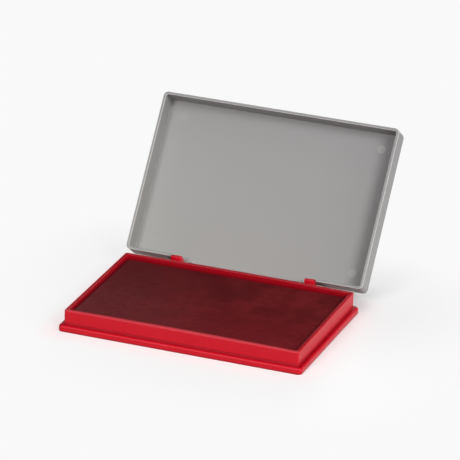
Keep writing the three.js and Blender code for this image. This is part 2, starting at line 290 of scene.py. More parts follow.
# Greyer, towards the pad's left
CLOTH_GREYER = shade(106, 50, 52)
CLOTH_DEEP = shade(84, 22, 25)
CLOTH_LIVELY = shade(122, 28, 34)
CLOTH_PATCH = shade(84, 22, 24)
CLOTH_THREAD = shade(138, 50, 52)
CLOTH_SHEEN = shade(190, 160, 160)
FELT_DRY = (86, 24, 26)
FELT_SOAKED = (70, 16, 18)
FOAM_DRY = (80, 22, 24)
FOAM_SOAKED = (64, 14, 16)
BOARD_GREY = shade(146, 143, 138)
BOARD_CLOUD = shade(134, 131, 126)
BOARD_FIBRE = shade(112, 104, 98)
GLUE_PALE = shade(222, 214, 190)
GLUE_CLOUD = shade(208, 198, 168)
GLUE_BUBBLE = shade(236, 231, 216)
PAPER = shade(249, 249, 249)
PAPER_BOUNCE = shade(205, 205, 205)
# Painted red bounce of light from the tray onto the paper
PAPER_RED_BOUNCE = shade(255, 226, 229)
BLACK = shade(0, 0, 0)


# Nodes

class Wire:
    """A node's output that sums and products take as it is, so that 1 - mask makes its own Math nodes."""

    def __init__(self, socket):
        self.socket = socket

    @classmethod
    def add(cls, tree, kind, settings=None, sockets=None, output=0):
        """Makes any node from its type, its settings, and then the values or links of its sockets."""
        node = tree.nodes.new(kind)
        for name, value in (settings or {}).items():
            setattr(node, name, value)
        for name, value in (sockets or {}).items():
            if isinstance(value, Wire):
                tree.links.new(value.socket, node.inputs[name])
            else:
                node.inputs[name].default_value = value
        return cls(node.outputs[output])

    def math(self, operation, first, second=0.0):
        tree = self.socket.id_data
        return Wire.add(tree, "ShaderNodeMath", {"operation": operation}, {0: first, 1: second})

    def __add__(self, other):
        return self.math("ADD", self, other)

    def __radd__(self, other):
        return self.math("ADD", other, self)

    def __sub__(self, other):
        return self.math("SUBTRACT", self, other)

    def __rsub__(self, other):
        return self.math("SUBTRACT", other, self)

    def __mul__(self, other):
        return self.math("MULTIPLY", self, other)

    def __rmul__(self, other):
        return self.math("MULTIPLY", other, self)

    def sine(self):
        return self.math("SINE", self)

    def size(self):
        """The value without its sign."""
        return self.math("ABSOLUTE", self)

    def at_least(self, other):
        return self.math("MAXIMUM", self, other)

    def at_most(self, other):
        return self.math("MINIMUM", self, other)

    def clear_above(self, low, high):
        """0 below low and 1 above high, with a smooth step between them."""
        tree = self.socket.id_data
        settings = {"interpolation_type": "SMOOTHSTEP"}
        sockets = {"Value": self, "From Min": low, "From Max": high, "To Min": 0.0, "To Max": 1.0}
        return Wire.add(tree, "ShaderNodeMapRange", settings, sockets)

    def parts(self):
        """The X, Y and Z of a vector."""
        tree = self.socket.id_data
        first = Wire.add(tree, "ShaderNodeSeparateXYZ", sockets={"Vector": self})
        return [Wire(output) for output in first.socket.node.outputs]


class Finish:
    """A material under way: its node tree, and the Principled shader that its parts feed."""

    def __init__(self, name, **constants):
        self.material = bpy.data.materials.new(name)
        self.material.use_nodes = True
        self.tree = self.material.node_tree
        self.shader = self.tree.nodes["Principled BSDF"]
        for socket, value in constants.items():
            self.shader.inputs[socket.replace("_", " ")].default_value = value

    def add(self, kind, settings=None, sockets=None, output=0):
        return Wire.add(self.tree, kind, settings, sockets, output)

    def place(self):
        return self.add("ShaderNodeTexCoord", output="Object")

    def map(self, name):
        return self.add("ShaderNodeUVMap", {"uv_map": name})

    def grain(self, place, length, detail=2.0, roughness=0.5):
        """Noise from 0 to 1, with features about as large as the given length."""
        sockets = {"Vector": place, "Scale": 1 / length, "Detail": detail, "Roughness": roughness}
        return self.add("ShaderNodeTexNoise", {"noise_dimensions": "3D"}, sockets)

    def vector(self, operation, first, second=(0, 0, 0), output=0):
        return self.add("ShaderNodeVectorMath", {"operation": operation}, {0: first, 1: second}, output)

    def tint(self, mask, colour, other):
        """The colour where the mask is 0, the other colour where it is 1, and a mix between."""
        return self.add("ShaderNodeMix", {"data_type": "RGBA"}, {0: mask, 6: colour, 7: other}, 2)

    # The edge value, which paints wear and a highlight on tight outward edges.
    def wear_and_highlight(self):
        return self.add("ShaderNodeAttribute", {"attribute_name": "wear_and_highlight"}, output="Fac")

    def relief(self, height, distance, strength, over=None):
        sockets = {"Height": height, "Distance": distance, "Strength": strength}
        if over:
            sockets["Normal"] = over
        return self.add("ShaderNodeBump", sockets=sockets)

    def feed(self, **wires):
        for socket, wire in wires.items():
            self.tree.links.new(wire.socket, self.shader.inputs[socket.replace("_", " ")])
        return self.material


# Finishes

def red_plastic():
    """Glossy moulded plastic with a faint flow pattern, fine grain, paler edges that are wear and a painted
    highlight, dried ink, a painted highlight on the front rim and painted shade about its feet.
    """
    finish = Finish("tray_red_plastic", Specular_IOR_Level=0.28)
    place = finish.place()
    flow = finish.grain(place, length=24 * MM, detail=3)
    fine = finish.grain(place, length=0.5 * MM)
    body = finish.tint(flow, TRAY_RED, TRAY_DEEP_RED)
    # Paler tight edges: partly wear, partly a painted highlight.
    edged = finish.tint(finish.wear_and_highlight() * (0.1 + 0.2 * fine), body, TRAY_PALE_EDGE)
    film, rim_highlight, painted_shade = tray_ink_and_painted_light(place, flow)
    # The front rim's top is painted paler: a painted highlight.
    highlighted = finish.tint(rim_highlight * (0.2 + 0.16 * fine), edged, TRAY_RIM_HIGHLIGHT)
    # Painted shade in the corner at the wall's foot and along the flange's foot.
    darkened = finish.tint(painted_shade, highlighted, TRAY_PAINTED_SHADE)
    colour = finish.tint(film, darkened, DRIED_INK)
    rough = 0.3 + 0.1 * flow + 0.06 * fine
    bump = finish.relief(fine, distance=0.012 * MM, strength=0.35)
    return finish.feed(Base_Color=colour, Roughness=rough, Normal=bump)


def tray_ink_and_painted_light(place, flow):
    """Dried ink inside the tray's walls, a painted highlight on the front rim's top, and painted shade in
    the corner at the wall's foot and along the flange's foot.
    """
    x, y, z = place.parts()
    inner_x = HALF_LENGTH - FLANGE_REACH - TRAY_WALL
    inner_y = HALF_WIDTH - FLANGE_REACH - TRAY_WALL
    beyond_x = x.size().clear_above(inner_x + INK_ON_RIM / 2, inner_x + INK_ON_RIM)
    beyond_y = y.size().clear_above(inner_y + INK_ON_RIM / 2, inner_y + INK_ON_RIM)
    height = z.clear_above(PAD_HIGH.z - PAD_CROWN - PAD_EDGE_RADIUS, TRAY_HEIGHT)
    front = 1 - y.clear_above(-inner_y - INK_FRONT_STOP, -inner_y)
    # The front rim's top, where a highlight is painted.
    rim_highlight = front * z.clear_above(TRAY_HEIGHT - 2 * RIM_ROUND, TRAY_HEIGHT - RIM_ROUND)
    inked = (1 - beyond_x) * (1 - beyond_y) * (1 - front)
    film = inked * (INK_SHARE - INK_FADE_TO_RIM * height - INK_FADE_BY_FLOW * flow)
    outside = (x.size() - HALF_LENGTH).at_least(y.size() - HALF_WIDTH)
    # Painted shade: the flange's top by the wall's foot, and the flange's bottom edge.
    past_wall = outside.clear_above(*CORNER_SHADE_INNER_EDGE)
    past_shade = outside.clear_above(*CORNER_SHADE_OUTER_EDGE)
    corner = past_wall * (1 - past_shade) * (1 - z.clear_above(*CORNER_SHADE_TOP))
    foot = outside.clear_above(*FOOT_SHADE_EDGE) * (1 - z.clear_above(*FOOT_SHADE_TOP))
    return film, rim_highlight, CORNER_SHADE_SHARE * corner + FOOT_SHADE_SHARE * foot


def grey_plastic():
    """Satin moulded plastic with a fine spark grain, paler edges that are partly wear and partly a painted
    highlight, and painted shade.
    """
    finish = Finish("lid_grey_plastic", Specular_IOR_Level=0.3)
    place = finish.place()
    flow = finish.grain(place, length=30 * MM, detail=3)
    fine = finish.grain(place, length=0.35 * MM)
    body = lid_grey_with_painted_shade(finish, place, flow)
    # Paler tight edges: partly wear, partly a painted highlight.
    colour = finish.tint(finish.wear_and_highlight() * (0.72 + 0.28 * fine), body, LID_PALE_EDGE)
    rough = 0.42 + 0.08 * flow + 0.08 * fine
    bump = finish.relief(fine, distance=0.01 * MM, strength=0.4)
    return finish.feed(Base_Color=colour, Roughness=rough, Normal=bump)


def lid_grey_with_painted_shade(finish, place, flow):
    """The lid's grey with painted shade: darker to its far right and high up, on the inner faces of its end
    walls, and beside the right wall.
    """
    x, _, z = place.parts()
    # Painted shade, darker towards the top and to the right.
    shade_ramp = (z + LID_GREY_SHADE_TO_RIGHT * x + LID_GREY_SHADE_FLOW * flow).clear_above(*LID_GREY_SHADE_RAMP)
    body = finish.tint(shade_ramp, LID_GREY, LID_SHADED_GREY)
    # Painted shadow of the top wall, high up on the lid.
    top_shadowed = finish.tint(z.clear_above(*LID_TOP_SHADOW) * LID_TOP_SHADOW_SHARE, body, LID_TOP_SHADOW_GREY)
    normal_x, _, _ = finish.add("ShaderNodeNewGeometry", output="Normal").parts()
    # Painted shade on the inner faces of the end walls.
    inner_wall_shade = 1 - (x * normal_x).clear_above(*LID_INNER_WALL_SHADE)
    wall_shaded = finish.tint(inner_wall_shade * LID_INNER_WALL_SHADE_SHARE, top_shadowed, LID_INNER_WALL_SHADE_GREY)
    # Painted shadow of the right wall on the plate beside it.
    beside_wall = x.clear_above(*LID_WALL_SHADOW_START) * (1 - x.clear_above(*LID_WALL_SHADOW_END))
    return finish.tint(beside_wall * LID_WALL_SHADOW_SHARE, wall_shaded, LID_WALL_SHADOW_GREY)


def drawn_steel():
    """Drawn wire with fine lines along it."""
    finish = Finish("pin_drawn_steel", Metallic=1.0)
    stretch = {"Scale": PIN_LINE_STRETCH, "Vector": finish.place()}
    along = finish.add("ShaderNodeMapping", sockets=stretch)
    lines = finish.grain(along, length=0.12 * MM, detail=3)
    colour = finish.tint(lines, STEEL_BRIGHT, STEEL_DULL)
    rough = 0.24 + 0.2 * lines
    bump = finish.relief(lines, distance=0.01 * MM, strength=0.3)
    return finish.feed(Base_Color=colour, Roughness=rough, Normal=bump)


def inked_cloth():
    """A close plain weave, soaked unevenly with dark red ink."""
    finish = Finish("pad_inked_cloth", Specular_IOR_Level=0.03, Sheen_Weight=0.01, Sheen_Roughness=0.5)
    finish.shader.inputs["Sheen Tint"].default_value = CLOTH_SHEEN
    along_thread, across_thread, _ = finish.map("threads").parts()
    turn = 2 * math.pi / THREAD_PITCH
    weave = 0.5 + 0.5 * ((along_thread * turn).sine() * (across_thread * turn).sine())
    place = finish.place()
    soak = finish.grain(place, length=13 * MM, detail=3, roughness=0.6)
    mottle = finish.grain(place, length=2.4 * MM, detail=3, roughness=0.6)
    wet = soak.clear_above(0.34, 0.66)
    body = finish.tint(wet, CLOTH_MAROON, CLOTH_WET)
    spread = ink_spread(finish, place, body)
    patchy = finish.tint(mottle.clear_above(0.45, 0.8) * 0.6, spread, CLOTH_PATCH)
    colour = finish.tint(weave * 0.16, patchy, CLOTH_THREAD)
    rough = 0.72 + 0.12 * mottle - 0.1 * wet
    swell = finish.relief(mottle, distance=0.05 * MM, strength=0.25)
    bump = finish.relief(weave, distance=0.05 * MM, strength=0.5, over=swell)
    return finish.feed(Base_Color=colour, Roughness=rough, Normal=bump)


def ink_spread(finish, place, body):
    """The pad's colour: fresh ink in front, greyer towards the left, deep at the back left and lively at
    right.
    """
    x, y, _ = place.parts()
    fresh = 1 - y.clear_above(*INK_FRESH_TO_BACK)
    fuller = finish.tint(fresh * INK_FRESH_SHARE, body, CLOTH_FRESH)
    # Greyer towards the left, leaning back.
    greyer_left = 1 - (x + PAD_GREYER_LEAN * y).clear_above(*PAD_GREYER_TO_RIGHT)
    paler = finish.tint(greyer_left * PAD_GREYER_SHARE, fuller, CLOTH_GREYER)
    to_back = y.clear_above(*INK_DEEP_TO_BACK)
    deep = to_back * (1 - x.clear_above(*INK_DEEP_TO_RIGHT))
    deeper = finish.tint(deep * INK_DEEP_SHARE, paler, CLOTH_DEEP)
    lively = x.clear_above(*INK_LIVELY_TO_RIGHT) * (1 - INK_LIVELY_LESS_AT_BACK * to_back)
    return finish.tint(lively * INK_LIVELY_SHARE, deeper, CLOTH_LIVELY)


def soaked_fibre(name, dry, soaked, fibre_length, depth):
    """Felt or foam that is dark with ink, with its fibres or cells as relief."""
    finish = Finish(name, Specular_IOR_Level=0.2)
    place = finish.place()
    fibre = finish.grain(place, length=fibre_length, detail=4, roughness=0.7)
    soak = finish.grain(place, length=14 * MM)
    body = finish.tint(soak, shade(*dry), shade(*soaked))
    colour = finish.tint(fibre * 0.4, body, shade(*(level // 2 for level in soaked)))
    rough = 0.8 + 0.15 * fibre
    bump = finish.relief(fibre, distance=depth, strength=0.7)
    return finish.feed(Base_Color=colour, Roughness=rough, Normal=bump)


def grey_board():
    """Pressed grey board with faint clouds and short darker paper fibres."""
    finish = Finish("pad_grey_board", Specular_IOR_Level=0.25)
    place = finish.place()
    fibre = finish.grain(place, length=0.5 * MM, detail=5, roughness=0.7)
    cloud = finish.grain(place, length=11 * MM)
    body = finish.tint(cloud, BOARD_GREY, BOARD_CLOUD)
    colour = finish.tint(fibre.clear_above(0.5, 0.75) * 0.5, body, BOARD_FIBRE)
    rough = 0.75 + 0.2 * fibre
    bump = finish.relief(fibre, distance=0.03 * MM, strength=0.5)
    return finish.feed(Base_Color=colour, Roughness=rough, Normal=bump)


def glue_film():
    """A tacky yellowish film with small trapped bubbles."""
    finish = Finish("pad_glue_film", Specular_IOR_Level=0.5)
    place = finish.place()
    spacing = {"Vector": place, "Scale": 1 / BUBBLE_SPACING}
    bubbles = finish.add("ShaderNodeTexVoronoi", sockets=spacing)
    cloud = finish.grain(place, length=6 * MM, detail=3)
    body = finish.tint(cloud, GLUE_PALE, GLUE_CLOUD)
    ring = 1 - bubbles.clear_above(0.12, 0.22)
    colour = finish.tint(ring * 0.5, body, GLUE_BUBBLE)
    rough = 0.45 + 0.2 * cloud
    bump = finish.relief(ring, distance=0.03 * MM, strength=0.4)
    return finish.feed(Base_Color=colour, Roughness=rough, Normal=bump)


# Mesh making

def piece(name, points, faces):
    mesh = bpy.data.meshes.new(name)
    mesh.from_pydata([tuple(point) for point in points], [], faces)
    made = bpy.data.objects.new(name, mesh)
    bpy.context.scene.collection.objects.link(made)
    return made


def edit(obj, job):
    """Runs a mesh job on an object's mesh and writes the result back."""
    work = bmesh.new()
    work.from_mesh(obj.data)
    job(work)
    work.to_mesh(obj.data)
    work.free()
    obj.data.update()


def outward(work):
    bmesh.ops.recalc_face_normals(work, faces=work.faces)


def baked(obj):
    """The object with its modifiers made part of a plain mesh."""
    graph = bpy.context.evaluated_depsgraph_get()
    mesh = bpy.data.meshes.new_from_object(obj.evaluated_get(graph))
    obj.modifiers.clear()
    old = obj.data
    obj.data = mesh
    mesh.name = obj.name
    bpy.data.meshes.remove(old)
    return obj


def combined(body, tool, operation):
    """The body with the tool's solid added or cut away. The tool is used up."""
    cut = body.modifiers.new("cut", "BOOLEAN")
    cut.operation = operation
    cut.solver = "EXACT"
    cut.object = tool
    baked(body)
    bpy.data.objects.remove(tool)
    return body


def lofted(name, rings, closed=True):
    """A skin over rings with as many points each, and a face over the first and, if closed, the last."""
    count = len(rings[0])
    points = [point for ring in rings for point in ring]
    last = len(points) - count
    faces = [tuple(range(count))]
    if closed:
        faces.append(tuple(range(last, len(points))))
    for start in range(0, last, count):
        for step in range(count):
            after = (step + 1) % count
            faces.append((start + step, start + count + step, start + count + after, start + after))
    made = piece(name, points, faces)
    if closed:
        edit(made, outward)
    return made


def rounded_ring(half_x, half_y, corner, z, side_parts):
    """A level rounded rectangle, anticlockwise from above, with holding points by its corners."""
    arcs = []
    for quarter, (sign_x, sign_y) in enumerate(((1, 1), (-1, 1), (-1, -1), (1, -1))):
        centre = Vector((sign_x * (half_x - corner), sign_y * (half_y - corner), z))
        arc = []
        for step in range(CORNER_STEPS + 1):
            angle = (quarter + step / CORNER_STEPS) * QUARTER_TURN
            arc.append(centre + corner * Vector((math.cos(angle), math.sin(angle), 0)))
        arcs.append(arc)
    points = []
    for index, arc in enumerate(arcs):
        start, end = arc[-1], arcs[(index + 1) % len(arcs)][0]
        hold = min(HOLD_MOST_SHARE, HOLD / (end - start).length)
        shares = [hold, *(part / side_parts for part in range(1, side_parts)), 1 - hold]
        points += arc + [start.lerp(end, share) for share in shares]
    return points


def arc_profile(inset, z, radius, start, end, steps=EDGE_STEPS):
    """A round stretch of a profile as (inset, z), about its centre, between two angles in quarter turns."""
    points = []
    for step in range(steps + 1):
        angle = (start + (end - start) * step / steps) * QUARTER_TURN
        points.append((inset - radius * math.cos(angle), z + radius * math.sin(angle)))
    return points


def held(profile):
    """A profile with holding points close to both ends of each long straight stretch."""
    points = [profile[0]]
    for last, here in zip(profile, profile[1:]):
        start, end = Vector(last), Vector(here)
        length = (end - start).length
        if length > LONG_STRETCH:
            points += [tuple(start.lerp(end, HOLD / length)), tuple(start.lerp(end, 1 - HOLD / length))]
        points.append(here)
    return points


def ringed(name, half_x, half_y, corner, least_corner, profile, side_parts=SIDE_PARTS):
    """A closed body of rounded rectangles, one for each (inset, z) of its profile."""
    rings = []
    for inset, z in profile:
        tight = max(corner - inset, least_corner)
        rings.append(rounded_ring(half_x - inset, half_y - inset, tight, z, side_parts))
    return lofted(name, rings)


def prism(name, outline, start_x, end_x, round_edge=0):
    """A solid along X with its (y, z) outline, its edges rounded if a radius is given."""
    made = lofted(name, [[(x, y, z) for y, z in outline] for x in (start_x, end_x)])
    if round_edge:
        edit(made, lambda work: round_ends(work, round_edge))
    return made


def round_ends(work, radius):
    ends = [edge for edge in work.edges if edge.calc_face_angle(0) > SHARP_ANGLE]
    bmesh.ops.bevel(
        work, geom=ends, offset=radius, segments=ROUND_SEGMENTS, profile=0.5, affect="EDGES",
        clamp_overlap=True)


def filleted(corners):
    """An outline with each corner rounded to its radius, given as its two places and the radius."""
    points = []
    for index, (across, up, radius) in enumerate(corners):
        here = Vector((across, up))
        before = Vector(corners[index - 1][:2]) - here
        after = Vector(corners[(index + 1) % len(corners)][:2]) - here
        if not radius:
            points.append((across, up))
            continue
        half = before.angle(after) / 2
        start = here + before.normalized() * radius / math.tan(half)
        end = here + after.normalized() * radius / math.tan(half)
        centre = here + (before.normalized() + after.normalized()).normalized() * radius / math.sin(half)
        first, sweep = start - centre, (start - centre).angle_signed(end - centre)
        for step in range(FILLET_STEPS + 1):
            turn = Matrix.Rotation(-sweep * step / FILLET_STEPS, 2)
            points.append(tuple(centre + turn @ first))
    return points


def round_axis(radius, start, end):
    """Points of a round stretch about the hinge axis as (y, z), between two angles in quarter turns."""
    points = []
    for step in range(ARM_STEPS + 1):
        angle = (start + (end - start) * step / ARM_STEPS) * QUARTER_TURN
        points.append((AXIS_Y + radius * math.cos(angle), AXIS_Z + radius * math.sin(angle)))
    return points


def pin_circle(radius):
    """The points of a circle about the hinge axis as (y, z)."""
    turns = [2 * math.pi * step / PIN_SIDES for step in range(PIN_SIDES)]
    return [(AXIS_Y + radius * math.cos(turn), AXIS_Z + radius * math.sin(turn)) for turn in turns]


def pin_bore(side):
    """The hole for one hinge pin, through the inner arm and the lug and into the outer arm."""
    outline = pin_circle(PIN_RADIUS + PIN_CLEARANCE)
    start, end = INNER_ARM_START_X - CUT_MARGIN, OUTER_ARM_END_X - PIN_HOLE_END
    return prism("bore", outline, side * start, side * end)


def mark_wear_and_highlight(mesh):
    """Gives each point an edge value, for wear and a painted highlight: 1 on a tight outward edge, 0 on a
    hollow place or a broad face.
    """
    work = bmesh.new()
    work.from_mesh(mesh)
    areas = [face.calc_area() for face in work.faces]
    values = []
    for point in work.verts:
        turn = max(edge.calc_face_angle_signed(0) for edge in point.link_edges)
        broad = max(areas[face.index] for face in point.link_faces) > BROAD_FACE
        wide = min(edge.calc_length() for edge in point.link_edges) > TIGHT_STEP
        sharp = max(0, turn - EDGE_ANGLE) / (WORN_ANGLE - EDGE_ANGLE)
        values.append(0 if broad or wide else min(1, sharp))
    work.free()
    mesh.attributes.new("wear_and_highlight", "FLOAT", "POINT").data.foreach_set("value", values)


def tidy(obj):
    """Merges doubles, points faces outwards, shades round stretches smooth and marks the tight edges for
    wear and a painted highlight.
    """
    def job(work):
        bmesh.ops.remove_doubles(work, verts=work.verts, dist=WELD)
        bmesh.ops.dissolve_degenerate(work, edges=work.edges, dist=WELD)
        outward(work)
    edit(obj, job)
    obj.data.shade_smooth()
    obj.data.set_sharp_from_angle(angle=SHARP_ANGLE)
    mark_wear_and_highlight(obj.data)
    return obj


def dressed(obj, material, body, slot, *nodes):
    """Gives a finished piece its material, its body and the nodes that it stands for; its finish slot is
    not used.
    """
    obj.data.materials.clear()
    obj.data.materials.append(material)
    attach(obj, body)
    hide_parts(*nodes)
    return obj


# Ejector marks, a small tree that sets round pips or dimples out on a grid

def ejector_tree():
    tree = bpy.data.node_groups.new("ejector_marks", "GeometryNodeTree")
    inputs = (
        ("Span X", "NodeSocketFloat"), ("Span Y", "NodeSocketFloat"), ("Radius", "NodeSocketFloat"),
        ("Depth", "NodeSocketFloat"), ("Level", "NodeSocketVector"), ("Finish", "NodeSocketMaterial"),
    )
    for name, kind in inputs:
        tree.interface.new_socket(name, in_out="INPUT", socket_type=kind)
    tree.interface.new_socket("Geometry", in_out="OUTPUT", socket_type="NodeSocketGeometry")
    given = tree.nodes.new("NodeGroupInput").outputs
    size = {name: Wire(given[name]) for name, _ in inputs}
    spread = {"Size X": size["Span X"], "Size Y": size["Span Y"], "Vertices X": 2, "Vertices Y": 2}
    spots = Wire.add(tree, "GeometryNodeMeshGrid", sockets=spread)
    disc = {"Vertices": PIN_SIDES, "Radius": size["Radius"], "Depth": 2 * size["Depth"]}
    mark = Wire.add(tree, "GeometryNodeMeshCylinder", sockets=disc)
    placed = {"Points": spots, "Instance": mark}
    marks = Wire.add(tree, "GeometryNodeInstanceOnPoints", sockets=placed)
    lifted = {"Geometry": marks, "Translation": size["Level"]}
    at_level = Wire.add(tree, "GeometryNodeTransform", sockets=lifted)
    plain = Wire.add(tree, "GeometryNodeRealizeInstances", sockets={"Geometry": at_level})
    coated = {"Geometry": plain, "Material": size["Finish"]}
    done = Wire.add(tree, "GeometryNodeSetMaterial", sockets=coated)
    tree.links.new(done.socket, tree.nodes.new("NodeGroupOutput").inputs["Geometry"])
    return tree


def ejector_marks(tree, finish, span_x, span_y, radius, depth, level_z):
    """Four round marks near the corners of a level face, half above it and half below."""
    marks = piece("marks", [], [])
    maker = marks.modifiers.new("marks", "NODES")
    maker.node_group = tree
    values = {
        "Span X": span_x, "Span Y": span_y, "Radius": radius, "Depth": depth, "Level": (0, 0, level_z),
        "Finish": finish,
    }
    for item in tree.interface.items_tree:
        if item.name in values:
            maker[item.identifier] = values[item.name]
    return baked(marks)


# Tray

def tray_profile():
    """From the middle of the floor, over the rim and the flange, to the underside."""
    inner = FLANGE_REACH + TRAY_WALL
    rim = TRAY_HEIGHT - RIM_ROUND
    wall_foot = FLANGE_HEIGHT + WALL_FOOT_FILLET
    bead = FLANGE_HEIGHT - FLANGE_EDGE_RADIUS
    return held([
        (inner + FLOOR_FILLET + FLAT_RUN, FLOOR_THICKNESS),
        *arc_profile(inner + FLOOR_FILLET, FLOOR_THICKNESS + FLOOR_FILLET, FLOOR_FILLET, -1, 0),
        *arc_profile(inner - RIM_ROUND, rim, RIM_ROUND, 2, 1),
        *arc_profile(FLANGE_REACH + RIM_ROUND, rim, RIM_ROUND, 1, 0),
        *arc_profile(FLANGE_REACH - WALL_FOOT_FILLET, wall_foot, WALL_FOOT_FILLET, 2, 3),
        *arc_profile(FLANGE_EDGE_RADIUS, bead, FLANGE_EDGE_RADIUS, 1, 0),
        *arc_profile(FLANGE_FOOT_RADIUS, FLANGE_FOOT_RADIUS, FLANGE_FOOT_RADIUS, 0, -1),
        (FLANGE_FOOT_RADIUS + FLAT_RUN, 0),
    ])


def lug_outline():
    """The side view of a hinge lug: a flat front, and a heel that the open lid lands on."""
    front = OUTER_BACK + LUG_FRONT_GAP
    clear = math.hypot(HINGE_BEHIND_LID, NOTCH_ABOVE_AXIS) - LUG_SWING_GAP
    top = AXIS_Z + math.sqrt(clear ** 2 - (HINGE_BEHIND_LID - LUG_FRONT_GAP) ** 2)
    away_y, away_z = -math.cos(OPEN_ANGLE), math.sin(OPEN_ANGLE)
    reach = HINGE_BEHIND_LID - STOP_GAP

    def on_stop(along):
        return (AXIS_Y + away_y * reach + away_z * along, AXIS_Z + away_z * reach - away_y * along)

    heel_top = on_stop(NOTCH_ABOVE_AXIS - STOP_LEAD)
    heel_end = on_stop(NOTCH_ABOVE_AXIS - STOP_LEAD + STOP_FACE)
    root = OUTER_BACK - LUG_ROOT - FLANGE_EDGE_RADIUS
    return filleted([
        (root, 0, 0),
        (heel_end[0], 0, LUG_EDGE_ROUND),
        (*heel_end, LUG_TOP_ROUND),
        (*heel_top, LUG_TOP_ROUND),
        (front + LUG_TOP_DEPTH, top, LUG_TOP_ROUND),
        (front, top, LUG_TOP_ROUND),
        (front, FLANGE_HEIGHT, 0),
        (root, FLANGE_HEIGHT, 0),
    ])


def lift_rims(mesh):
    """Lets the tray's walls rise towards the back, and bow up a little half way along the tray."""
    wall_x, wall_y = HALF_LENGTH - FLANGE_REACH, HALF_WIDTH - FLANGE_REACH
    for point in mesh.vertices:
        x, y, z = point.co
        if z > FLANGE_HEIGHT and y < wall_y + WELD:
            share = (z - FLANGE_HEIGHT) / (TRAY_HEIGHT - FLANGE_HEIGHT)
            bow = WALL_BOW * max(0, 1 - (x / wall_x) ** 2)
            point.co.z += share * (bow + REAR_RISE * (y + wall_y) / (2 * wall_y))


def moulded_tray(marks_tree, finish):
    tray = ringed("tray_moulding", HALF_LENGTH, HALF_WIDTH, FLANGE_CORNER, TRAY_CORNER, tray_profile())
    for side in (-1, 1):
        lug = prism("lug", lug_outline(), side * LUG_INNER_X, side * LUG_OUTER_X, LUG_EDGE_ROUND)
        combined(tray, lug, "UNION")
        combined(tray, pin_bore(side), "DIFFERENCE")
    dimples = ejector_marks(
        marks_tree, finish, TRAY_MARK_SPAN_X, TRAY_MARK_SPAN_Y, TRAY_MARK_RADIUS, TRAY_MARK_DEPTH, 0)
    tidy(combined(tray, dimples, "DIFFERENCE"))
    lift_rims(tray.data)
    return dressed(tray, finish, "base", "tray_plastic", "base_tray")


# Lid

def lid_profile():
    """From the middle of the top, over the edge and the rim, to the underside of the plate."""
    rim = LID_RIM_Z + LID_RIM_ROUND
    inner = LID_WALL + LID_INNER_RADIUS
    return held([
        (LID_EDGE_RADIUS + FLAT_RUN, LID_TOP_Z),
        *arc_profile(LID_EDGE_RADIUS, LID_TOP_Z - LID_EDGE_RADIUS, LID_EDGE_RADIUS, 1, 0),
        *arc_profile(LID_RIM_ROUND, rim, LID_RIM_ROUND, 0, -1),
        *arc_profile(LID_WALL - LID_RIM_ROUND, rim, LID_RIM_ROUND, -1, -2),
        *arc_profile(inner, UNDER_PLATE_Z - LID_INNER_RADIUS, LID_INNER_RADIUS, 0, 1),
        (inner + FLAT_RUN, UNDER_PLATE_Z),
    ])


def rear_notch(half, top):
    """A part of the lid's rear wall that is left out, from its rim to the given height."""
    low = LID_RIM_Z - CUT_MARGIN
    outline = filleted([
        (-half, low, 0), (half, low, 0), (half, top, NOTCH_CORNER), (-half, top, NOTCH_CORNER),
    ])
    near, shade_ramp = OUTER_BACK - LID_WALL - CUT_MARGIN, OUTER_BACK + CUT_MARGIN
    return lofted("notch", [[(x, y, z) for x, z in outline] for y in (near, shade_ramp)])


def rear_relief():
    """The round relief along the inside of the rear rim, which lets it swing past the tray's rear wall."""
    radius = AXIS_Y - OUTER_BACK + FLANGE_REACH - LID_SWING_GAP
    beyond = radius + CUT_MARGIN
    outline = [*round_axis(radius, 2, 3), (AXIS_Y, AXIS_Z - beyond), (AXIS_Y - beyond, AXIS_Z - beyond)]
    half = HALF_LENGTH - LID_CORNER
    return prism("relief", outline, -half, half)


def hinge_arm(start_x, end_x):
    """An arm beside a lug, hanging from the deep end of the rear wall and round about the axis."""
    root_top = LID_TOP_Z - LID_EDGE_RADIUS
    outline = [
        *round_axis(ARM_RADIUS, -2, ARM_BACK_TURN),
        (OUTER_BACK, root_top),
        (OUTER_BACK - ARM_ROOT, root_top),
    ]
    return prism("arm", outline, start_x, end_x, ARM_EDGE_ROUND)


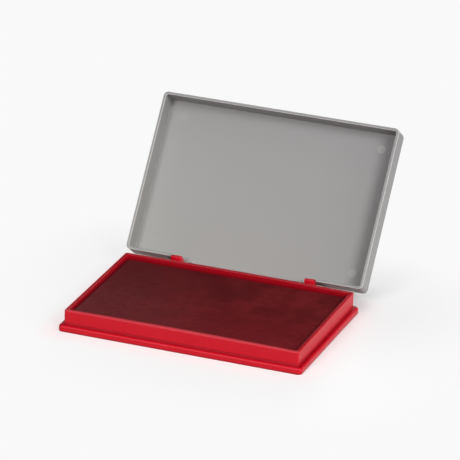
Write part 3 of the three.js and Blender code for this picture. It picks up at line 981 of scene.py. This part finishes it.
def moulded_lid(marks_tree, finish):
    """The lid, shaped as it lies closed and then swung open."""
    lid = ringed("lid_moulding", HALF_LENGTH, HALF_WIDTH, LID_CORNER, LID_INNER_RADIUS, lid_profile())
    middle_half = INNER_ARM_START_X - MIDDLE_NOTCH_SIDE_GAP
    combined(lid, rear_notch(LUG_OUTER_X + NOTCH_SIDE_GAP, NOTCH_TOP_Z), "DIFFERENCE")
    combined(lid, rear_notch(middle_half, UNDER_PLATE_Z - MIDDLE_NOTCH_LIP), "DIFFERENCE")
    combined(lid, rear_relief(), "DIFFERENCE")
    for side in (-1, 1):
        combined(lid, hinge_arm(side * INNER_ARM_START_X, side * INNER_ARM_END_X), "UNION")
        combined(lid, hinge_arm(side * OUTER_ARM_START_X, side * OUTER_ARM_END_X), "UNION")
        combined(lid, pin_bore(side), "DIFFERENCE")
    pips = ejector_marks(
        marks_tree, finish, LID_MARK_SPAN_X, LID_MARK_SPAN_Y, LID_MARK_RADIUS, LID_MARK_HEIGHT,
        UNDER_PLATE_Z)
    tidy(combined(lid, pips, "UNION"))
    # Painted sheen on the marks' tops, given as their edge value.
    wear_and_highlight = lid.data.attributes["wear_and_highlight"].data
    for point in lid.data.vertices:
        if abs(point.co.z - UNDER_PLATE_Z + LID_MARK_HEIGHT) < WELD:
            wear_and_highlight[point.index].value = RIGHT_MARK_SHEEN if point.co.x > 0 else LEFT_MARK_SHEEN
    axis = Vector((0, AXIS_Y, AXIS_Z))
    swing = Matrix.Rotation(-OPEN_ANGLE, 4, "X")
    lid.data.transform(Matrix.Translation(axis) @ swing @ Matrix.Translation(-axis))
    return dressed(lid, finish, "lid", "lid_plastic", "lid_shell")


# Pins

def hinge_pin(name, side, finish):
    """A wire pin with a chamfer at each end."""
    ends = (
        (INNER_ARM_START_X, PIN_RADIUS - PIN_CHAMFER), (INNER_ARM_START_X + PIN_CHAMFER, PIN_RADIUS),
        (INNER_ARM_START_X + PIN_CHAMFER + HOLD, PIN_RADIUS), (PIN_END_X - PIN_CHAMFER - HOLD, PIN_RADIUS),
        (PIN_END_X - PIN_CHAMFER, PIN_RADIUS), (PIN_END_X, PIN_RADIUS - PIN_CHAMFER),
    )
    rings = [[(side * x, y, z) for y, z in pin_circle(radius)] for x, radius in ends]
    pin = tidy(lofted(f"{name}_pin_rod", rings))
    return dressed(pin, finish, "base", "pin_steel", f"{name}_hinge_pin")


# Pad

def crown_height(x, y):
    """How far the pad's face swells at a place, flat at its edges and full in its middle."""
    along = max(0, 1 - (x / PAD_HIGH.x) ** 4)
    across = max(0, 1 - (y / PAD_HIGH.y) ** 2)
    return PAD_CROWN * along * across


def wave(co, length, height):
    return height * noise.noise(Vector(co) / length)


def cloth_profile():
    """From the middle of the face, over the edge and down the side, then back up inside to the middle."""
    top = PAD_HIGH.z - PAD_CROWN
    shoulder = top - PAD_EDGE_RADIUS
    under = top - CLOTH_THICKNESS
    run = PAD_HIGH.y - CLOTH_LEAST_HALF - PAD_EDGE_RADIUS
    spread = [(step / CLOTH_RINGS) ** CLOTH_RING_SPREAD for step in range(CLOTH_RINGS - 1, 0, -1)]
    insets = [PAD_EDGE_RADIUS + run * share for share in spread]
    outer = []
    for step in range(1, CLOTH_SIDE_STEPS):
        share = step / CLOTH_SIDE_STEPS
        inset = PAD_DRAWN_IN * math.sin(math.pi * share) + PAD_TUCK * share ** 3
        outer.append((inset, shoulder - (shoulder - PAD_LOW.z) * share))
    inner = [(inset + CLOTH_THICKNESS, z) for inset, z in reversed(outer)]
    return [
        *((inset, top) for inset in insets),
        *arc_profile(PAD_EDGE_RADIUS, shoulder, PAD_EDGE_RADIUS, 1, 0),
        *outer,
        (PAD_TUCK, PAD_LOW.z),
        (PAD_TUCK + CLOTH_THICKNESS, PAD_LOW.z),
        *inner,
        *arc_profile(PAD_EDGE_RADIUS, shoulder, PAD_EDGE_RADIUS - CLOTH_THICKNESS, 0, 1),
        *((inset, under) for inset in reversed(insets)),
    ]


def thread_map(mesh):
    """A map in millimetres that follows the threads over the face and down the sides."""
    threads = mesh.uv_layers.new(name="threads")
    for loop in mesh.loops:
        x, y, z = mesh.vertices[loop.vertex_index].co
        drop = max(0, PAD_HIGH.z - PAD_CROWN - z)
        beyond_x = math.copysign(drop, x) if abs(x) > PAD_HIGH.x - PAD_EDGE_RADIUS else 0
        beyond_y = math.copysign(drop, y) if abs(y) > PAD_HIGH.y - PAD_EDGE_RADIUS else 0
        threads.data[loop.index].uv = ((x + beyond_x) / MM, (y + beyond_y) / MM)


def pad_cover(finish):
    """The cloth, crowned and a little wavy on its face, and drawn in and tucked under at its sides."""
    cover = ringed(
        "inked_cloth", PAD_HIGH.x, PAD_HIGH.y, PAD_CORNER, PAD_EDGE_RADIUS, cloth_profile(),
        CLOTH_SIDE_PARTS)
    face_z = PAD_HIGH.z - PAD_CROWN - CLOTH_THICKNESS
    for point in cover.data.vertices:
        x, y, z = point.co
        rise = crown_height(x, y)
        share = min(1, max(0, (z - face_z + PAD_EDGE_RADIUS) / PAD_EDGE_RADIUS))
        ripple = min(rise / PAD_CROWN, CLOTH_WAVE_MOST) * wave((x, y, 0), CLOTH_WAVE_LENGTH, CLOTH_WAVE)
        point.co.z += share * (rise * CLOTH_CROWN_SHARE + ripple)
    tidy(cover)
    thread_map(cover.data)
    dressed(cover, finish, "base", "cloth", "pad_cloth")
    return cover


def layer(name, high, profile, wobble):
    """A slab of the pad with slightly uneven sides."""
    made = ringed(name, high.x, high.y, LAYER_CORNER, LAYER_LEAST_CORNER, profile, CLOTH_SIDE_PARTS)
    for point in made.data.vertices:
        x, y, z = point.co
        point.co.x -= math.copysign(abs(wave((x, y, z), LAYER_WAVE_LENGTH, wobble)), x)
        point.co.y -= math.copysign(abs(wave((y, z, x), LAYER_WAVE_LENGTH, wobble)), y)
    return made


def slab_profile(low_z, high_z, radius, drawn_in):
    """A slab's half section: its face, a side that may draw in between round edges, and its underside."""
    runs = [radius + run for run in SLAB_RUNS]
    return [
        *((run, high_z) for run in runs),
        *arc_profile(radius, high_z - radius, radius, 1, 0, SLAB_EDGE_STEPS),
        (drawn_in, (low_z + high_z) / 2),
        *arc_profile(radius, low_z + radius, radius, 0, -1, SLAB_EDGE_STEPS),
        *((run, low_z) for run in reversed(runs)),
    ]


def felt_slab(finish):
    top = FELT_HIGH.z - PAD_CROWN
    profile = slab_profile(FELT_LOW.z, top, FELT_EDGE_RADIUS, 0)
    felt = layer("felt_slab", FELT_HIGH, profile, LAYER_WAVE)
    for point in felt.data.vertices:
        if point.co.z > (FELT_LOW.z + top) / 2:
            point.co.z += FELT_CROWN_SHARE * crown_height(point.co.x, point.co.y)
    dressed(tidy(felt), finish, "base", "felt", "ink_felt")
    return felt


def foam_slab(finish):
    profile = slab_profile(FOAM_LOW.z, FOAM_HIGH.z, FOAM_EDGE_RADIUS, FOAM_DRAWN_IN)
    foam = tidy(layer("foam_slab", FOAM_HIGH, profile, LAYER_WAVE))
    dressed(foam, finish, "base", "foam", "reservoir_foam")
    return foam


def backing_card(finish):
    profile = slab_profile(BOARD_LOW.z, BOARD_HIGH.z, BOARD_EDGE_RADIUS, 0)
    card = tidy(layer("backing_card", BOARD_HIGH, profile, BOARD_WAVE))
    return dressed(card, finish, "base", "board", "pad_backing_board")


def glue_sheet(finish):
    profile = slab_profile(GLUE_LOW.z, GLUE_HIGH.z, GLUE_EDGE_RADIUS, 0)
    film = tidy(layer("glue_sheet", GLUE_HIGH, profile, LAYER_WAVE))
    return dressed(film, finish, "base", "adhesive", "pad_adhesive")


# Studio

FLOOR_RADII = (2.6, 2.8, 3.0, 3.2, 3.4, 3.6, 3.8, 4.0)
FLOOR_SIDES = 64
FLOOR_RISE = 0.7
FLOOR_DROP = 0.03 * MM
PAPER_LIT = 0.76
SHADOW_SHARE = 0.85
SHADOW_LEFT_SHARE = 0.3
SHADOW_SPOT = Vector((0, 4, 0)) * MM
SHADOW_HALF = Vector((59, 43, 0)) * MM
SHADOW_FAR = 70 * MM
BACK_DIM = 0.16
# Painted red bounce of light from the tray onto the paper
RED_BOUNCE_SHARE = 0.6
RED_BOUNCE_FAR = 14 * MM
LID_SHADE = 0.6
LID_SHADE_SIDE = (HALF_LENGTH - 8 * MM, HALF_LENGTH + 4 * MM)
LID_SHADE_START = (HALF_WIDTH - 6 * MM, HALF_WIDTH)
LID_SHADE_END = (HALF_WIDTH + 10 * MM, HALF_WIDTH + 36 * MM)
SKY_LEVEL = 0.01
LAMP_DISTANCE = 2.2
LAMPS = {
    "key_light": {"towards": (0.64, -0.48, 0.57), "size": 0.85, "level": 0.6},
    "front_light": {"towards": (-0.2, -0.83, 0.49), "size": 0.7, "level": 0.38},
    "side_light": {"towards": (0.9, -0.1, 0.25), "size": 1.1, "level": 0.3},
    "top_light": {"towards": (0.0, -0.45, 0.9), "size": 1.1, "level": 0.06},
    "rear_light": {"towards": (-0.08, 0.98, 0.14), "size": 0.5, "level": 0.55},
}


def seen_directly(tree):
    """1 for rays from the camera and for rays that mirror or pass through something, else 0."""
    path = Wire.add(tree, "ShaderNodeLightPath", output="Is Camera Ray")
    outputs = path.socket.node.outputs
    seen = path + Wire(outputs["Is Glossy Ray"]) + Wire(outputs["Is Transmission Ray"])
    return seen.at_most(1.0)


def floor_sheet():
    """A round sheet that lies flat under the object and curls up a little at its far edge."""
    first, last = FLOOR_RADII[0], FLOOR_RADII[-1]
    turns = [2 * math.pi * step / FLOOR_SIDES for step in range(FLOOR_SIDES)]
    rings = []
    for radius in FLOOR_RADII:
        rise = FLOOR_RISE * ((radius - first) / (last - first)) ** 2 - FLOOR_DROP
        rings.append([(radius * math.cos(turn), radius * math.sin(turn), rise) for turn in turns])
    return lofted("paper_floor", rings, closed=False)


def paper_floor():
    """Pale paper. Seen directly it mostly glows pale, with a faint shadow, painted darker under the open
    lid, and a painted red bounce of light by the tray.
    """
    floor = floor_sheet()
    finish = Finish("floor_paper", Roughness=0.9, Specular_IOR_Level=0.0, Emission_Strength=1.0)
    seen = seen_directly(finish.tree)
    place = finish.place()
    offset = finish.vector("SUBTRACT", place, SHADOW_SPOT)
    aside = finish.vector("SUBTRACT", finish.vector("ABSOLUTE", offset), SHADOW_HALF)
    reach = finish.vector("LENGTH", finish.vector("MAXIMUM", aside, (0, 0, 0)), output="Value")
    x, y, _ = offset.parts()
    to_right = x.clear_above(-SHADOW_HALF.x, SHADOW_HALF.x / 2)
    side_share = SHADOW_LEFT_SHARE + (1 - SHADOW_LEFT_SHARE) * to_right
    shaded = SHADOW_SHARE * side_share * (1 - reach.clear_above(0, SHADOW_FAR))
    dim = 1 - BACK_DIM * y.clear_above(-SHADOW_HALF.y, SHADOW_HALF.y)
    lit = finish.tint(shaded * dim, BLACK, PAPER)
    # A painted red bounce of light from the tray onto the paper around it.
    red_bounced = finish.tint(RED_BOUNCE_SHARE * (1 - reach.clear_above(0, RED_BOUNCE_FAR)), PAPER, PAPER_RED_BOUNCE)
    shown = seen * (1 - PAPER_LIT * shaded) * (1 - LID_SHADE * under_lid(place))
    glow = finish.tint(shown, BLACK, red_bounced)
    finish.feed(Base_Color=finish.tint(seen, PAPER_BOUNCE, lit), Emission_Color=glow)
    floor.data.materials.append(finish.material)


def under_lid(place):
    """1 on the floor behind the tray, where the open lid hangs close over it, and 0 well away."""
    x, y, _ = place.parts()
    beside = x.size().clear_above(*LID_SHADE_SIDE)
    return (1 - beside) * y.clear_above(*LID_SHADE_START) * (1 - y.clear_above(*LID_SHADE_END))


def studio_world():
    world = bpy.data.worlds.new("studio")
    bpy.context.scene.world = world
    world.use_nodes = True
    background = world.node_tree.nodes["Background"]
    background.inputs["Color"].default_value = PAPER
    background.inputs["Strength"].default_value = SKY_LEVEL


def soft_light(name, towards, size, level):
    """A square softbox that lights a white surface, turned to it at the object, to the given level."""
    place = CAMERA_TARGET + LAMP_DISTANCE * Vector(towards).normalized()
    lamp = bpy.data.lights.new(name, "AREA")
    lamp.size = size
    lamp.energy = level * (math.pi * LAMP_DISTANCE) ** 2
    made = bpy.data.objects.new(name, lamp)
    made.location = place
    made.rotation_euler = (CAMERA_TARGET - place).to_track_quat("-Z", "Y").to_euler()
    bpy.context.scene.collection.objects.link(made)


def camera():
    data = bpy.data.cameras.new("camera")
    data.sensor_width = SENSOR
    data.lens = LENS
    data.clip_end = CAMERA_FAR
    made = bpy.data.objects.new("camera", data)
    level = math.cos(CAMERA_ELEVATION)
    back = Vector((
        math.sin(CAMERA_AZIMUTH) * level, -math.cos(CAMERA_AZIMUTH) * level, math.sin(CAMERA_ELEVATION)))
    flat_right = Vector((math.cos(CAMERA_AZIMUTH), math.sin(CAMERA_AZIMUTH), 0))
    right = Matrix.Rotation(CAMERA_ROLL, 3, back) @ flat_right
    turn = Matrix((right, back.cross(right), back)).transposed()
    made.matrix_world = Matrix.Translation(CAMERA_TARGET + CAMERA_DISTANCE * back) @ turn.to_4x4()
    bpy.context.scene.collection.objects.link(made)
    bpy.context.scene.camera = made


camera()
bpy.context.scene.view_settings.view_transform = "Standard"
paper_floor()
studio_world()
for name, facts in LAMPS.items():
    soft_light(name, **facts)

marks_tree = ejector_tree()
moulded_tray(marks_tree, red_plastic())
moulded_lid(marks_tree, grey_plastic())
steel = drawn_steel()
hinge_pin("left", -1, steel)
hinge_pin("right", 1, steel)
pad_cover(inked_cloth())
felt_slab(soaked_fibre("pad_soaked_felt", FELT_DRY, FELT_SOAKED, fibre_length=0.6 * MM, depth=0.08 * MM))
foam_slab(soaked_fibre("pad_soaked_foam", FOAM_DRY, FOAM_SOAKED, fibre_length=1.1 * MM, depth=0.15 * MM))
backing_card(grey_board())
glue_sheet(glue_film())
